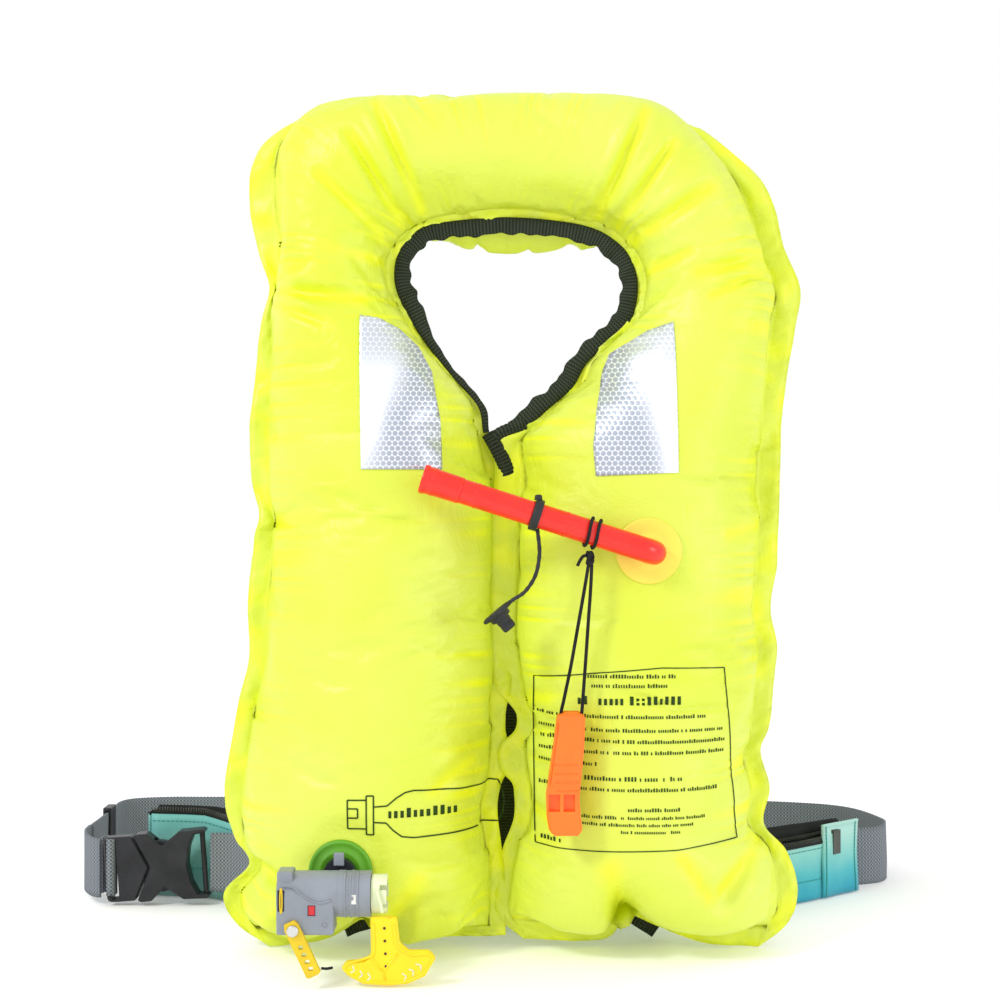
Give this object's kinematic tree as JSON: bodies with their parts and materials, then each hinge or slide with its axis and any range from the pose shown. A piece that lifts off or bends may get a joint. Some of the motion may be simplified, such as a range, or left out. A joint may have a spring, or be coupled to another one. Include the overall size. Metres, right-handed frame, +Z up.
{
  "type": "inflatable life jacket",
  "caption": "Inflatable belt-pack life jacket with horse-collar bladder, manual inflator, oral tube, whistle and buckled waist belt.",
  "frame": {"origin": "on the floor, in the middle of the object's footprint", "axes": "+X to the right seen from the front, +Y away from the front, +Z up"},
  "size_m": [0.577, 0.4171, 0.53],
  "materials": {
    "bladder_yellow": "coated nylon, satin",
    "binding_black": "ribbed webbing",
    "reflective_silver": "retroreflective tape",
    "tube_red": "satin",
    "flange_orange": "satin, translucent look",
    "rubber_black": "moulded rubber",
    "cord_black": "braided cord",
    "whistle_orange": "satin",
    "valve_white": "moulded",
    "spring_steel": "brushed",
    "inflator_grey": "moulded, satin",
    "inflator_green": "moulded",
    "hub_black": "moulded",
    "indicator_red": "gloss",
    "lever_yellow": "moulded",
    "handle_yellow": "moulded",
    "collar_white": "moulded",
    "webbing_grey": "woven webbing",
    "buckle_black": "moulded, satin",
    "pouch_teal": "coated woven fabric, teal gradient",
    "lining_black": "coated lining",
    "zip_black": "coil zip"
  },
  "bodies": {
    "jacket": {"bladder": "bladder_yellow", "neck_binding": "binding_black", "reflective_patch_left": "reflective_silver", "reflective_patch_right": "reflective_silver", "oral_tube_flange": "flange_orange", "oral_tube": "tube_red", "oral_mouthpiece": "tube_red", "oral_valve_seat": "valve_white", "oral_valve_spring": "spring_steel", "tether_ring": "rubber_black", "lanyard_wrap_left": "cord_black", "lanyard_wrap_right": "cord_black", "lanyard_knot": "cord_black", "inflator_flange": "inflator_green", "inflator_hub": "hub_black", "inflator_clip_tab": "inflator_grey", "inflator_body": "inflator_grey", "status_indicator": "indicator_red", "lever_pivot_pin": "spring_steel", "handle_clip": "collar_white", "cylinder_collar": "collar_white", "pouch_front_panel": "pouch_teal", "pouch_back_panel": "pouch_teal", "pouch_floor": "pouch_teal", "pouch_lining": "lining_black", "pouch_end_left": "pouch_teal", "pouch_end_right": "pouch_teal", "zip_coil_front": "zip_black", "zip_coil_back": "zip_black", "belt_strap": "webbing_grey", "belt_strap_left": "webbing_grey", "buckle_short_strap": "webbing_grey", "buckle_female": "buckle_black"},
    "poppet": {"oral_valve_poppet": "valve_white"},
    "cap": {"cap_tether": "rubber_black", "dust_cap": "rubber_black"},
    "whistle": {"lanyard_cord": "cord_black", "whistle_body": "whistle_orange"},
    "lever": {"firing_lever": "lever_yellow", "pull_cord": "cord_black"},
    "handle": {"jerk_handle": "handle_yellow"},
    "slider": {"zip_slider": "zip_black"},
    "pull": {"zip_pull": "zip_black"},
    "male": {"buckle_male": "buckle_black"},
    "prong_upper": {"buckle_prong_upper": "buckle_black"},
    "prong_lower": {"buckle_prong_lower": "buckle_black"},
    "glide": {"tri_glide": "buckle_black"}
  },
  "joints": [
    {"name": "lever_hinge", "type": "hinge", "parent": "jacket", "child": "lever", "pos_m": [-0.1112, -0.2049, 0.0334], "axis": [0, 1, 0], "range_deg": [0, 95]},
    {"name": "handle_swing", "type": "hinge", "parent": "jacket", "child": "handle", "pos_m": [-0.0605, -0.1975, 0.0385], "axis": [1, 0, 0], "range_deg": [-75, 0]},
    {"name": "valve_press", "type": "slide", "parent": "jacket", "child": "poppet", "axis": [0.9524, 0, -0.305], "range_m": [0, 0.003], "stiffness_N_per_m": 150, "deforming": ["oral_valve_spring"]},
    {"name": "cap_swing", "type": "hinge", "parent": "jacket", "child": "cap", "pos_m": [0.0275, -0.18, 0.2575], "axis": [0, 1, 0], "range_deg": [-35, 20], "stiffness_Nm_per_rad": 0.02},
    {"name": "whistle_swing", "type": "hinge", "parent": "jacket", "child": "whistle", "pos_m": [0.0574, -0.18, 0.2375], "axis": [1, 0, 0], "range_deg": [-75, 0]},
    {"name": "zip_slide", "type": "slide", "parent": "jacket", "child": "slider", "axis": [0.7258, 0.6879, 0], "range_m": [-0.028, 0.004]},
    {"name": "zip_pull_swing", "type": "hinge", "parent": "slider", "child": "pull", "pos_m": [0.24007, 0.03189, 0.0454], "axis": [0.7258, 0.6879, 0], "range_deg": [-70, 0]},
    {"name": "buckle_slide", "type": "slide", "parent": "jacket", "child": "male", "axis": [-0.9976, 0, -0.0698], "range_m": [0, 0.034], "deforming": ["belt_strap_left"]},
    {"name": "prong_upper_squeeze", "type": "hinge", "parent": "male", "child": "prong_upper", "pos_m": [-0.23781, 0.009, 0.03757], "axis": [0, 1, 0], "range_deg": [0, 8], "stiffness_Nm_per_rad": 0.05},
    {"name": "prong_lower_squeeze", "type": "hinge", "parent": "male", "child": "prong_lower", "pos_m": [-0.23614, 0.009, 0.01363], "axis": [0, 1, 0], "range_deg": [-8, 0], "stiffness_Nm_per_rad": 0.05},
    {"name": "glide_slide", "type": "slide", "parent": "jacket", "child": "glide", "axis": [0, 1, 0], "range_m": [-0.03, 0.01]}
  ]
}
